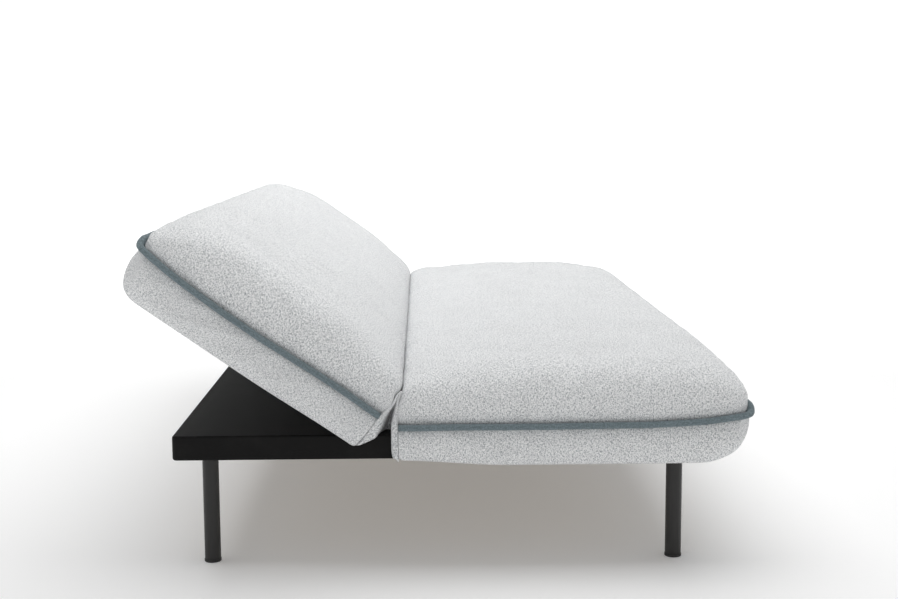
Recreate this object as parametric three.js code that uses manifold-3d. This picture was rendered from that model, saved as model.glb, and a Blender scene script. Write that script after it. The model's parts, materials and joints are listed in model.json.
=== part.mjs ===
// A futon sofa bed: a black platform on four tube legs carries a fixed seat cushion and a hinged back cushion.
// Two ratchet hinges join the cushion frames, so the back goes from flat through lounging to upright.
//
// Millimetres, +Z up. X runs along the sofa and -Y is the front of the seat. The origin is on the floor, in the
// middle of the footprint, with the back at its lounging angle.
//
// Both cushion units are drawn in one frame of their own, (x, u, w), with the hinge axis as its origin:
// u runs away from the hinge along the cushion, and w is up when the cushion lies flat.
import * as THREE from "three";
import { mergeVertices } from "three/addons/utils/BufferGeometryUtils.js";
import Module from "manifold-3d";

// ---- driving dimensions ----
const LENGTH = 2000; // cushions, end to end, over the piping
const SEAT_DEPTH = 640; // hinge axis to the outside of the front piping
const BACK_DEPTH = 538; // hinge axis to the outside of the top piping
const PIVOT_Y = 82; // hinge axis; this value centres the footprint on the origin
const PIVOT_Z = 310;
const BACK_ANGLE = 35; // degrees above flat, in the lounging position

const PLATFORM = { halfX: 965, halfY: 490, low: 205, top: 250, corner: 10, edge: 4 };
const LEG = { x: 905, y: 430, radius: 15, wall: 1.5 };
const GAP = 0.3; // between pieces that touch

// ---- derived levels ----
const SKIN = 1.4; // black cloth of the platform
const DECK = { thick: 12, top: PLATFORM.top - SKIN - GAP };
const BASE_RAIL = { wide: 20, top: DECK.top - DECK.thick - GAP, low: PLATFORM.low + SKIN + GAP };
const BLOCK = { inner: 45, thick: 19 }; // corner block, from the leg's axis towards the middle
const LEG_PLATE = { half: 35, thick: 3 };
const FOOT = { radius: 15.8, flange: 5, plug: 18 };
const TOP_OF_LEG = BASE_RAIL.top - BLOCK.thick - LEG_PLATE.thick - 2 * GAP;

// Levels of a cushion unit, in w.
const ON_PLATFORM = PLATFORM.top - PIVOT_Z;
const CUSHION = { low: 206 - PIVOT_Z, seam: 286 - PIVOT_Z, innerSeam: 271 - PIVOT_Z, endSeam: 278 - PIVOT_Z };
const CLOTH = 2;
// The round is under the piping and the shoulder above it; the inner face draws in by the lean at its foot.
const SEAT_FORM = { depth: SEAT_DEPTH, round: 90, shoulder: 90, lean: 0, crown: 75 };
const BACK_FORM = { depth: BACK_DEPTH, round: 36, shoulder: 170, lean: 14, crown: 79 };
const FRAME = { low: ON_PLATFORM + GAP, thick: 28, rail: 60, inner: 10 };
const INNER_RAIL = { from: 40, to: 90, half: 880, notch: 16 }; // notched at its ends for the hinge plates
const FRAME_TOP = FRAME.low + FRAME.thick;
const WEBBING = { thick: 1.5, wide: 60, margin: 12 };
const UNDER_FOAM = FRAME_TOP + WEBBING.thick + 2 * GAP;
const DUST_COVER = 0.8;

const PIPING = { radius: 6, sides: 8, corner: 34 };
const PIPING_INSET = PIPING.radius + GAP; // its centre line, in from the outside
const FACE_INSET = 2 * PIPING_INSET; // the cover's own face, in from the outside

// Hinge plates lie side by side along x.
const END_RAIL = { outer: 955, seatInner: 895 };
const PLATE = 3;
const WHEEL = { thick: 4.8, tip: 11.8, root: 9.4, teeth: 10 };
const FIXED_PLATE_X = END_RAIL.seatInner - GAP - PLATE;
const WHEEL_X = FIXED_PLATE_X - GAP - WHEEL.thick;
const MOVING_PLATE_X = WHEEL_X - GAP - PLATE;
const BACK_RAIL_INNER = MOVING_PLATE_X + PLATE + GAP;
const BOSS = { radius: 12, hole: 4.3 };
const BOLT = { shank: 4, head: 7.5, headThick: 3.6 };
const PAWL = { u: 22, w: -26, length: 22.6, hole: 2.3, pin: 2, pinHead: 3.6, pinHeadThick: 2.2 };
const POCKET = { low: 876, high: 904, depth: 64, top: 17 };

// ---- materials ----
function paint(color, roughness, metalness = 0) {
  return new THREE.MeshStandardMaterial({ color, roughness, metalness });
}
const MATERIAL = {
  fabric: paint(0xc9cccd, 0.95),
  piping: paint(0x68777c, 0.85),
  blackCloth: paint(0x232120, 0.75),
  legBlack: paint(0x33312f, 0.5, 0.3),
  footBlack: paint(0x151515, 0.6),
  pine: paint(0xd2ae7c, 0.7),
  plywood: paint(0xc49a6c, 0.7),
  foam: paint(0xe8dfb8, 0.95),
  steel: paint(0x9a9da0, 0.4, 0.9),
  dustCloth: paint(0x1c1c1c, 0.95),
  webbing: paint(0x3a3a3c, 0.9),
};

// ---- solids ----
const wasm = await Module();
wasm.setup();

function toSolid(geometry) {
  const plain = geometry.clone();
  plain.deleteAttribute("normal");
  plain.deleteAttribute("uv");
  const merged = mergeVertices(plain, 1e-3);
  return new wasm.Manifold(
    new wasm.Mesh({
      numProp: 3,
      vertProperties: new Float32Array(merged.attributes.position.array),
      triVerts: new Uint32Array(merged.index.array),
    }),
  );
}

function toGeometry(solid) {
  const mesh = solid.getMesh();
  return new THREE.BufferGeometry()
    .setAttribute("position", new THREE.BufferAttribute(new Float32Array(mesh.vertProperties), 3))
    .setIndex(new THREE.BufferAttribute(new Uint32Array(mesh.triVerts), 1));
}

function cut(geometry, ...tools) {
  return toGeometry(tools.reduce((left, tool) => left.subtract(toSolid(tool)), toSolid(geometry)));
}

function join(...geometries) {
  return toGeometry(geometries.map(toSolid).reduce((all, one) => all.add(one)));
}

function common(...geometries) {
  return toGeometry(geometries.map(toSolid).reduce((all, one) => all.intersect(one)));
}

// A box between two corners.
function box([x0, y0, z0], [x1, y1, z1]) {
  return new THREE.BoxGeometry(x1 - x0, y1 - y0, z1 - z0).translate((x0 + x1) / 2, (y0 + y1) / 2, (z0 + z1) / 2);
}

// A box that lies the same way on both sides of x = 0.
function centredBox(halfX, low, high) {
  return box([-halfX, ...low], [halfX, ...high]);
}

function extrude(shape, depth, curveSegments) {
  return new THREE.ExtrudeGeometry(shape, { depth, bevelEnabled: false, curveSegments });
}

const [AXIS_X, AXIS_Y, AXIS_Z] = [0, 1, 2].map((i) => new THREE.Vector3().setComponent(i, 1));

// A (y, z) outline extruded along x, from x0 to x1.
function alongX(shape, x0, x1, curveSegments = 12) {
  const turn = new THREE.Matrix4().makeBasis(AXIS_Y, AXIS_Z, AXIS_X);
  return extrude(shape, x1 - x0, curveSegments).applyMatrix4(turn).translate(x0, 0, 0);
}

// An (x, z) outline extruded along y, from y0 to y1.
function alongY(shape, y0, y1, curveSegments = 12) {
  const turn = new THREE.Matrix4().makeBasis(AXIS_X, AXIS_Z, AXIS_Y.clone().negate());
  return extrude(shape, y1 - y0, curveSegments).applyMatrix4(turn).translate(0, y1, 0);
}

// A disc-like shape turned about the x axis; the profile's points are (radius, x).
function turnedAboutX(profile, segments = 20) {
  const points = profile.map(([radius, x]) => new THREE.Vector2(radius, x));
  return new THREE.LatheGeometry(points, segments).rotateZ(-Math.PI / 2);
}

function turnedAboutZ(profile, segments = 24) {
  const points = profile.map(([radius, z]) => new THREE.Vector2(radius, z));
  return new THREE.LatheGeometry(points, segments).rotateX(Math.PI / 2);
}

function roundedRectangle(x0, y0, x1, y1, radius) {
  const shape = new THREE.Shape();
  shape.moveTo(x0 + radius, y0);
  shape.absarc(x1 - radius, y0 + radius, radius, -Math.PI / 2, 0);
  shape.absarc(x1 - radius, y1 - radius, radius, 0, Math.PI / 2);
  shape.absarc(x0 + radius, y1 - radius, radius, Math.PI / 2, Math.PI);
  shape.absarc(x0 + radius, y0 + radius, radius, Math.PI, 1.5 * Math.PI);
  return shape;
}

function piece(name, geometry, material) {
  const mesh = new THREE.Mesh(geometry, material);
  mesh.name = name;
  return mesh;
}

const SIDES = [
  { side: "left", sign: -1 },
  { side: "right", sign: 1 },
];

// The same geometry on either side of x = 0. A mirrored one is turned inside out again by its mesh's matrix.
function mirrored(mesh, sign) {
  mesh.scale.x = sign;
  return mesh;
}

// ---- platform ----
// A slab with the platform's outline drawn in by a margin.
function platformSlab(margin, low, high) {
  const { halfX, halfY, corner } = PLATFORM;
  const [x, y] = [halfX - margin, halfY - margin];
  return extrude(roundedRectangle(-x, -y, x, y, corner - margin), high - low, 4).translate(0, 0, low);
}

// A cloth skin stretched over the wood, turned in under the rails and open below.
function platformSkin() {
  const { halfX, halfY, low, top, corner, edge } = PLATFORM;
  const [x, y] = [halfX - edge, halfY - edge];
  const outer = new THREE.ExtrudeGeometry(roundedRectangle(-x, -y, x, y, corner - edge), {
    depth: top - low - 2 * edge,
    bevelThickness: edge,
    bevelSize: edge,
    bevelSegments: 3,
    curveSegments: 4,
  }).translate(0, 0, low + edge);
  const inside = platformSlab(SKIN, low + SKIN, top - SKIN);
  const turnIn = 25;
  const opening = centredBox(halfX - turnIn, [-halfY + turnIn, low - 1], [halfY - turnIn, low + 2 * SKIN]);
  return cut(outer, inside, opening);
}

function platformWood() {
  const margin = SKIN + GAP;
  const { low, top, wide } = BASE_RAIL;
  const inX = PLATFORM.halfX - margin - wide;
  const inY = PLATFORM.halfY - margin - wide;
  const ring = platformSlab(margin, low, top);
  const longRail = (y0, y1) => common(ring, centredBox(PLATFORM.halfX, [y0, low], [y1, top]));
  const wood = [
    piece("base_deck", platformSlab(margin, DECK.top - DECK.thick, DECK.top), MATERIAL.plywood),
    piece("base_rail_front", longRail(-PLATFORM.halfY, -inY), MATERIAL.pine),
    piece("base_rail_rear", longRail(inY, PLATFORM.halfY), MATERIAL.pine),
  ];
  for (const { side, sign } of SIDES) {
    const rail = box([inX, -inY + GAP, low], [inX + wide, inY - GAP, top]);
    const beam = box([300, -inY + GAP, low], [340, inY - GAP, top]);
    wood.push(mirrored(piece(`base_rail_${side}`, rail, MATERIAL.pine), sign));
    wood.push(mirrored(piece(`base_beam_${side}`, beam, MATERIAL.pine), sign));
  }
  return wood;
}

function leg(name, x, y) {
  const group = new THREE.Group();
  const { radius, wall } = LEG;
  const bore = radius - wall;
  const tube = turnedAboutZ([
    [bore, FOOT.flange + GAP],
    [radius, FOOT.flange + GAP],
    [radius, TOP_OF_LEG],
    [bore, TOP_OF_LEG],
    [bore, FOOT.flange + GAP],
  ]);
  const foot = turnedAboutZ([
    [0, 0],
    [FOOT.radius - 1, 0],
    [FOOT.radius, 1],
    [FOOT.radius, FOOT.flange],
    [bore - GAP, FOOT.flange],
    [bore - GAP, FOOT.plug],
    [0, FOOT.plug],
  ]);
  const half = LEG_PLATE.half;
  const plateLow = TOP_OF_LEG + GAP;
  const plate = extrude(roundedRectangle(-half, -half, half, half, 6), LEG_PLATE.thick, 4);
  const towardsMiddle = (centre) => centre - Math.sign(centre) * BLOCK.inner;
  const railFaceX = Math.sign(x) * (PLATFORM.halfX - SKIN - BASE_RAIL.wide - 2 * GAP);
  const railFaceY = Math.sign(y) * (PLATFORM.halfY - SKIN - BASE_RAIL.wide - 2 * GAP);
  const xs = [towardsMiddle(x) - x, railFaceX - x].sort((a, b) => a - b);
  const ys = [towardsMiddle(y) - y, railFaceY - y].sort((a, b) => a - b);
  const blockLow = BASE_RAIL.top - BLOCK.thick;
  const block = box([xs[0], ys[0], blockLow], [xs[1], ys[1], BASE_RAIL.top]);
  group.add(
    piece(`leg_${name}`, tube, MATERIAL.legBlack),
    piece(`foot_${name}`, foot, MATERIAL.footBlack),
    piece(`leg_plate_${name}`, plate.translate(0, 0, plateLow), MATERIAL.legBlack),
    piece(`corner_block_${name}`, block, MATERIAL.pine),
  );
  group.position.set(x, y, 0);
  return group;
}

// ---- cushion units ----
// Side outline (u, w): upright inner face, crowned top, full outer edge with a deep round under the piping.
// Its inner shoulder stays low enough for the two cushions to fold to the upright position.
function sideOutline({ depth, round, shoulder, lean, crown }) {
  const { low, seam } = CUSHION;
  const face = depth - FACE_INSET;
  const rise = crown - seam;
  const shape = new THREE.Shape();
  shape.moveTo(1 + lean, low);
  shape.lineTo(face - round, low);
  shape.bezierCurveTo(face - 0.4 * round, low, face, low + 0.4 * round, face, seam);
  shape.bezierCurveTo(face, seam + 0.6 * rise, face - 0.4 * shoulder, crown - 8, face - shoulder, crown - 3);
  shape.bezierCurveTo(face - 2 * shoulder, crown + 6, 160, crown + 2, 56, 52);
  shape.bezierCurveTo(38, 43, 28, 36, 22, 29);
  shape.lineTo(10, 13);
  shape.lineTo(1, 0);
  return shape;
}

// End outline (x, w): the top is nearly level and rounds down to the piping at both ends of the sofa.
function endOutline(crown) {
  const { low, endSeam } = CUSHION;
  const face = LENGTH / 2 - FACE_INSET;
  const top = crown + 1;
  const shape = new THREE.Shape();
  shape.moveTo(-face, low);
  shape.lineTo(face, low);
  shape.lineTo(face, endSeam);
  shape.bezierCurveTo(face, endSeam + 50, face - 30, top - 26, face - 85, top - 17);
  shape.bezierCurveTo(face - 180, top - 4, face - 300, top, face - 420, top);
  shape.lineTo(-face + 420, top);
  shape.bezierCurveTo(-face + 300, top, -face + 180, top - 4, -face + 85, top - 17);
  shape.bezierCurveTo(-face + 30, top - 26, -face, endSeam + 50, -face, endSeam);
  return shape;
}

// The whole outside of a cushion, or the same drawn in by a margin all round.
function cushionForm(outline, margin = 0) {
  const { low } = CUSHION;
  const { depth, crown } = outline;
  const face = LENGTH / 2 - FACE_INSET;
  const corner = PIPING.corner - PIPING_INSET;
  const plan = roundedRectangle(-face, 1 - corner, face, depth - FACE_INSET, corner);
  const form = common(
    alongX(sideOutline(outline), -LENGTH / 2, LENGTH / 2, 8),
    alongY(endOutline(crown), -1, depth, 6),
    extrude(plan, 2 * (crown - low), 5).translate(0, 0, low - 1),
  );
  const size = [2 * face, depth - FACE_INSET, crown - low];
  const shrink = size.map((s) => (s - 2 * margin) / s);
  const centre = [0, size[1] / 2, (crown + low) / 2];
  const back = centre.map((c) => -c);
  return form.translate(...back).scale(...shrink).translate(...centre);
}

// The space under a cushion for its frame and the platform's edge, and the pockets for the hinges.
function cushionHollows(recessEnd, margin) {
  const clearX = PLATFORM.halfX + 4 + margin;
  const recess = centredBox(clearX, [-10, 2 * CUSHION.low], [recessEnd + margin, UNDER_FOAM + margin]);
  const { low, high, depth, top } = POCKET;
  const pockets = SIDES.map(({ sign }) => {
    const ends = [sign * (low - margin), sign * (high + margin)].sort((a, b) => a - b);
    return box([ends[0], -10, ON_PLATFORM], [ends[1], depth + margin, top + margin]);
  });
  return [recess, ...pockets];
}

// A path that steps through its points one by one, so that corners get as many steps as they need.
class StepPath extends THREE.Curve {
  constructor(points) {
    super();
    this.points = points;
  }
  getPoint(t, target = new THREE.Vector3()) {
    const place = t * (this.points.length - 1);
    const i = Math.min(Math.floor(place), this.points.length - 2);
    return target.lerpVectors(this.points[i], this.points[i + 1], place - i);
  }
  getPointAt(t, target) {
    return this.getPoint(t, target);
  }
  getTangentAt(t, target) {
    return this.getTangent(t, target);
  }
}

// Piping round three sides of a cushion: it starts and ends at the hinge side, and rises towards the outer edge.
function pipingCord(depth) {
  const { radius, sides, corner } = PIPING;
  const endX = LENGTH / 2 - PIPING_INSET;
  const outerU = depth - PIPING_INSET;
  const bend = corner;
  const bendSteps = 6;
  const height = (u) => THREE.MathUtils.lerp(CUSHION.innerSeam, CUSHION.seam, (u / outerU) ** 4);
  const sideSteps = 4;
  const half = [];
  for (let i = 0; i < sideSteps; i += 1) {
    const u = THREE.MathUtils.lerp(8, outerU - bend, i / sideSteps);
    half.push(new THREE.Vector3(endX, u, height(u)));
  }
  for (let i = 0; i <= bendSteps; i += 1) {
    const turn = (i / bendSteps) * (Math.PI / 2);
    const u = outerU - bend + bend * Math.sin(turn);
    half.push(new THREE.Vector3(endX - bend + bend * Math.cos(turn), u, height(u)));
  }
  const otherHalf = half.map((p) => new THREE.Vector3(-p.x, p.y, p.z)).reverse();
  const points = [...half, ...otherHalf];
  const section = new THREE.Shape();
  section.absarc(0, 0, radius, 0, 2 * Math.PI);
  return new THREE.ExtrudeGeometry(section, {
    steps: points.length - 1,
    extrudePath: new StepPath(points),
    curveSegments: sides,
  });
}

// Rails of a cushion's frame, with the webbing lattice stretched over them.
function cushionFrame(name, recessEnd, endRailInner, low, outerName) {
  const { rail, inner } = FRAME;
  const outer = recessEnd - 5;
  const reach = endRailInner - GAP;
  const across = (halfX, u0, u1) => centredBox(halfX, [u0, low], [u1, FRAME_TOP]);
  const { from, to, half, notch } = INNER_RAIL;
  const notches = SIDES.map(({ sign }) => {
    const ends = [sign * half, sign * (reach + 1)].sort((a, b) => a - b);
    return box([ends[0], from - 1, low - 1], [ends[1], to + 1, FRAME.low + notch]);
  });
  const made = [
    piece(`${name}_rail_inner`, cut(across(reach, from, to), ...notches), MATERIAL.pine),
    piece(`${name}_rail_${outerName}`, across(reach, outer - rail, outer), MATERIAL.pine),
    piece(`${name}_rail_middle`, across(rail / 2, to + GAP, outer - rail - GAP), MATERIAL.pine),
  ];
  for (const { side, sign } of SIDES) {
    const end = box([endRailInner, inner, low], [END_RAIL.outer, outer, FRAME_TOP]);
    made.push(mirrored(piece(`${name}_rail_${side}`, end, MATERIAL.pine), sign));
  }
  made.push(piece(`${name}_webbing`, webbingLattice(INNER_RAIL.from, outer), MATERIAL.webbing));
  return made;
}

// Elastic straps: two along the sofa and nine across it, stapled and stitched into one sheet.
function webbingLattice(inner, outer) {
  const { thick, wide, margin } = WEBBING;
  const low = FRAME_TOP + GAP;
  const high = low + thick;
  const endX = END_RAIL.outer - margin;
  const straps = [];
  for (const share of [1 / 3, 2 / 3]) {
    const u = THREE.MathUtils.lerp(inner, outer, share);
    straps.push(centredBox(endX, [u - wide / 2, low], [u + wide / 2, high]));
  }
  const across = 9;
  const reach = INNER_RAIL.half - 60;
  for (let i = 0; i < across; i += 1) {
    const x = THREE.MathUtils.lerp(-reach, reach, i / (across - 1));
    straps.push(box([x - wide / 2, inner + margin, low], [x + wide / 2, outer - margin, high]));
  }
  return join(...straps);
}

// One cushion unit: foam, cover, piping, frame and webbing.
function cushionUnit(name, outline, recessEnd, endRailInner, frameLow, outerName) {
  const group = new THREE.Group();
  const cover = cut(cushionForm(outline), cushionForm(outline, CLOTH), ...cushionHollows(recessEnd, 0));
  const foam = cut(cushionForm(outline, CLOTH + GAP), ...cushionHollows(recessEnd, GAP));
  group.add(
    piece(`${name}_cover`, cover, MATERIAL.fabric),
    piece(`${name}_foam`, foam, MATERIAL.foam),
    piece(`${name}_piping`, pipingCord(outline.depth), MATERIAL.piping),
    ...cushionFrame(name, recessEnd, endRailInner, frameLow, outerName),
  );
  return group;
}

// ---- hinges ----
// A cranked plate: a boss round the pivot, a web, and a foot along the frame with three screw holes.
function armOutline(holes) {
  const { radius, hole } = BOSS;
  const low = FRAME.low + 1;
  const foot = { inner: 8, outer: 130, rise: 14 };
  const web = { outer: 36, top: -30 };
  const shape = new THREE.Shape();
  const leave = Math.PI / 4;
  const rejoin = 2 * Math.PI - Math.acos(foot.inner / radius);
  shape.moveTo(foot.inner, low);
  shape.lineTo(foot.outer, low);
  shape.lineTo(foot.outer, low + foot.rise);
  shape.lineTo(web.outer, low + foot.rise);
  shape.lineTo(web.outer, web.top);
  shape.absarc(0, 0, radius, leave, rejoin);
  const rounds = [[0, 0, hole], ...holes];
  for (const u of [34, 74, 114]) rounds.push([u, low + foot.rise / 2, 2.6]);
  for (const [u, w, r] of rounds) shape.holes.push(new THREE.Path().absarc(u, w, r, 0, 2 * Math.PI));
  return shape;
}

// Saw teeth: each has a steep face and a long back.
function ratchetOutline() {
  const { tip, root, teeth } = WHEEL;
  const pitch = (2 * Math.PI) / teeth;
  const points = [];
  for (let i = 0; i < teeth; i += 1) {
    const corners = [
      [root, i * pitch],
      [tip, i * pitch + 0.06],
      [tip - 0.3, (i + 0.25) * pitch],
    ];
    for (const [r, a] of corners) points.push(new THREE.Vector2(r * Math.cos(a), r * Math.sin(a)));
  }
  const shape = new THREE.Shape(points);
  shape.holes.push(new THREE.Path().absarc(0, 0, BOSS.hole, 0, 2 * Math.PI));
  return shape;
}

// The pawl points from its own pin towards the wheel, and stands just clear of the teeth.
function pawlOutline() {
  const shape = new THREE.Shape();
  const round = 5;
  shape.moveTo(round, 0);
  shape.lineTo(2.6, PAWL.length - 5);
  shape.lineTo(-1.4, PAWL.length);
  shape.lineTo(-3, PAWL.length - 5);
  shape.absarc(0, 0, round, Math.PI, 2 * Math.PI);
  shape.holes.push(new THREE.Path().absarc(0, 0, PAWL.hole, 0, 2 * Math.PI));
  return shape;
}

// A leaf spring that leans on the outer flank of the pawl.
function leafOutline() {
  const shape = new THREE.Shape();
  const thick = 0.8;
  shape.moveTo(35, -30);
  shape.lineTo(35, -30 + thick);
  shape.bezierCurveTo(30.5, -29 + thick, 26.3, -20, 19.7, -11.5);
  shape.lineTo(19, -11.9);
  shape.bezierCurveTo(25.5, -20, 30.5, -29, 35, -30);
  return shape;
}

// Fixed half of one hinge, in the seat's own (x, u, w) frame.
function fixedHinge(side, sign) {
  const group = new THREE.Group();
  const arm = alongX(armOutline([[PAWL.u, PAWL.w, PAWL.hole]]), FIXED_PLATE_X, FIXED_PLATE_X + PLATE, 10);
  const { shank, head, headThick } = BOLT;
  const [near, far] = [MOVING_PLATE_X - GAP, FIXED_PLATE_X + PLATE + GAP];
  const bolt = turnedAboutX([
    [0, near - headThick],
    [head, near - headThick],
    [head, near],
    [shank, near],
    [shank, far],
    [head, far],
    [head, far + headThick],
    [0, far + headThick],
  ]);
  const { pin, pinHead, pinHeadThick } = PAWL;
  const pinNear = WHEEL_X - GAP;
  const pawlPin = turnedAboutX([
    [0, pinNear - pinHeadThick],
    [pinHead, pinNear - pinHeadThick],
    [pinHead, pinNear],
    [pin, pinNear],
    [pin, FIXED_PLATE_X + PLATE],
    [0, FIXED_PLATE_X + PLATE],
  ], 12).translate(0, PAWL.u, PAWL.w);
  const leaf = alongX(leafOutline(), WHEEL_X + GAP, WHEEL_X + WHEEL.thick - GAP, 6);
  const meets = -0.35; // where on the wheel the pawl points to
  const lean = Math.atan2(WHEEL.tip * Math.sin(meets) - PAWL.w, WHEEL.tip * Math.cos(meets) - PAWL.u);
  const pawl = alongX(pawlOutline(), 0, WHEEL.thick - 2 * GAP, 8);
  pawl.rotateX(lean - Math.PI / 2).translate(WHEEL_X + GAP, PAWL.u, PAWL.w);
  group.add(
    piece(`hinge_arm_fixed_${side}`, arm, MATERIAL.steel),
    piece(`hinge_bolt_${side}`, bolt, MATERIAL.steel),
    piece(`pawl_${side}`, pawl, MATERIAL.steel),
    piece(`pawl_pin_${side}`, pawlPin, MATERIAL.steel),
    piece(`pawl_spring_${side}`, leaf, MATERIAL.steel),
  );
  group.scale.x = sign;
  return group;
}

// Moving half of one hinge, in the back's own (x, u, w) frame.
function movingHinge(side, sign) {
  const group = new THREE.Group();
  const arm = alongX(armOutline([]), MOVING_PLATE_X, MOVING_PLATE_X + PLATE, 10);
  const wheel = alongX(ratchetOutline(), WHEEL_X, WHEEL_X + WHEEL.thick, 10);
  group.add(
    piece(`hinge_arm_moving_${side}`, arm, MATERIAL.steel),
    piece(`ratchet_wheel_${side}`, wheel, MATERIAL.steel),
  );
  group.scale.x = sign;
  return group;
}

// A cloth web that closes the wedge between the cushions near each end. It is folded away when the back is flat.
function gusset(side, sign) {
  const web = { x: 972, thick: 2, inner: 14, outer: 62, clear: 4 };
  const open = THREE.MathUtils.degToRad(BACK_ANGLE);
  const shape = new THREE.Shape();
  const margin = (radius) => web.clear / radius;
  const from = -Math.PI / 2 + margin(web.inner);
  const to = -Math.PI / 2 + open - margin(web.inner);
  const [outerFrom, outerTo] = [-Math.PI / 2 + margin(web.outer), -Math.PI / 2 + open - margin(web.outer)];
  shape.moveTo(web.inner * Math.cos(from), web.inner * Math.sin(from));
  shape.absarc(0, 0, web.outer, outerFrom, outerTo);
  shape.lineTo(web.inner * Math.cos(to), web.inner * Math.sin(to));
  const mesh = piece(`gusset_${side}`, alongX(shape, web.x, web.x + web.thick, 4), MATERIAL.fabric);
  return mirrored(mesh, sign);
}

// ---- assembly ----
const sofa = new THREE.Group();

sofa.add(piece("base_skin", platformSkin(), MATERIAL.blackCloth), ...platformWood());
sofa.add(leg("front_left", -LEG.x, -LEG.y), leg("front_right", LEG.x, -LEG.y));
sofa.add(leg("rear_left", -LEG.x, LEG.y), leg("rear_right", LEG.x, LEG.y));

const toPlatformEdge = PLATFORM.halfY + 4;
const seat = cushionUnit("seat", SEAT_FORM, PIVOT_Y + toPlatformEdge, END_RAIL.seatInner, FRAME.low, "front");
seat.position.set(0, PIVOT_Y, PIVOT_Z);
seat.scale.y = -1;
for (const { side, sign } of SIDES) seat.add(fixedHinge(side, sign));
sofa.add(seat);

const backRecessEnd = toPlatformEdge - PIVOT_Y;
const backFrameLow = FRAME.low + DUST_COVER + GAP;
const back = cushionUnit("back", BACK_FORM, backRecessEnd, BACK_RAIL_INNER, backFrameLow, "top");
const dustReach = END_RAIL.outer - 5;
const dust = centredBox(dustReach, [FRAME.inner + 4, FRAME.low], [backRecessEnd - 9, FRAME.low + DUST_COVER]);
back.add(piece("back_dust_cover", dust, MATERIAL.dustCloth));
back.position.set(0, PIVOT_Y, PIVOT_Z);
back.rotation.x = THREE.MathUtils.degToRad(BACK_ANGLE);
for (const { side, sign } of SIDES) back.add(movingHinge(side, sign));
sofa.add(back);

const gussets = new THREE.Group();
gussets.position.set(0, PIVOT_Y, PIVOT_Z);
for (const { side, sign } of SIDES) gussets.add(gusset(side, sign));
sofa.add(gussets);

export default sofa;
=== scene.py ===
"""Looks of the futon sofa bed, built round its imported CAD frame, in metres. +Z is up, and the seat faces -Y.

The seat and the back are upholstered units. Each is drawn in a frame of its own, (x, u, w): the hinge axis
is the origin, u runs away from the hinge along the cushion, and w is up when the cushion lies flat.
"""

import json
import math

import bmesh
import bpy
import numpy as np
from mathutils import Matrix, Vector, noise


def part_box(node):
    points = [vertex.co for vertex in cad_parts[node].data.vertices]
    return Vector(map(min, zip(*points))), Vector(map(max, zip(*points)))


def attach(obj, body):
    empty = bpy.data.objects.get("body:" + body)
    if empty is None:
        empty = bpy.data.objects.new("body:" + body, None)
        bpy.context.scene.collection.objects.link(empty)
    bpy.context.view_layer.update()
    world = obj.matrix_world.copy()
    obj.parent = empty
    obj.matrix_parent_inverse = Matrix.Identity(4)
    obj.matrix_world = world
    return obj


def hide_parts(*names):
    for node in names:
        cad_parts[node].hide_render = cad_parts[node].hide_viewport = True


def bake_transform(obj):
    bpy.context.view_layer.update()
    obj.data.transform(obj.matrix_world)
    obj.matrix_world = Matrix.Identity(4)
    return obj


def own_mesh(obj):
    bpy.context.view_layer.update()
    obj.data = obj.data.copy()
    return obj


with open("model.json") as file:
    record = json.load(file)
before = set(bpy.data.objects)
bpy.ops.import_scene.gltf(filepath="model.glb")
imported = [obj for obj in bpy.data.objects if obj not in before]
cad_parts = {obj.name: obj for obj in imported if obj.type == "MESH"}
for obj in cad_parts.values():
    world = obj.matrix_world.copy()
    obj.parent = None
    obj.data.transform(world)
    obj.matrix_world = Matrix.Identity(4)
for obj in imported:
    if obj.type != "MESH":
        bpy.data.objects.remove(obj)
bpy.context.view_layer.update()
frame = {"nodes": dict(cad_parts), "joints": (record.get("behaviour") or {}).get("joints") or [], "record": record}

# ---- driving dimensions ----
HINGE = next(j for j in frame["joints"] if j["name"] == "back_recline")
PIVOT = Vector(HINGE["pos_m"])
BACK_ANGLE = math.radians(35)  # above flat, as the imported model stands

MM = 0.001
SEAM_X = 987 * MM  # the seam that holds the piping, at the ends of the cushions
RECESS = {"half_x": 969 * MM, "top": -29.6 * MM}  # under each cushion, for its frame and the platform
POCKET = {"low": 876 * MM, "high": 904 * MM, "depth": 64 * MM, "top": 17 * MM}  # for a hinge
PIPING_RADIUS = 6 * MM
PIPING_FLANGE = 7 * MM  # how far the cord's cloth goes on into the seam
PIPING_PROUD = 7 * MM  # from the seam out to the middle of the cord
CORNER_RADIUS = 20 * MM

# A cushion's shape:
#   inner_seam, outer_seam  the height of the piping at the crease and at the outer edge
#   seam_power, seam_wave   how late it rises from one to the other, and how far it waves
#   crown                   the height of the top
#   inner_, end_, outer_reach  how far in the rounded edges of the top reach
#   band_reach, band_power, band_swell  the round of the band under the piping, along the outer edge
#   low, belly, belly_from  the height of the underside, how far it hangs below that, and from where
#   recess_end              how far from the crease the recess for the frame ends
#   lean, end_pull          how far the inner face stands off at its foot, and at the ends of the sofa
SEAT = {
    "name": "seat",
    "depth": 630 * MM,
    "inner_seam": -41.5 * MM,
    "outer_seam": -24 * MM,
    "seam_power": 7,
    "seam_wave": 0.0,
    "crown": 75 * MM,
    "inner_reach": 220 * MM,
    "end_reach": 118 * MM,
    "outer_reach": 88 * MM,
    "band_reach": 88 * MM,
    "band_power": 1.15,
    "band_swell": 15 * MM,
    "low": -106 * MM,
    "belly": 10 * MM,
    "belly_from": 100 * MM,
    "recess_end": 576 * MM,
    "lean": 0.0,
    "end_pull": 0.0,
}
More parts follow.
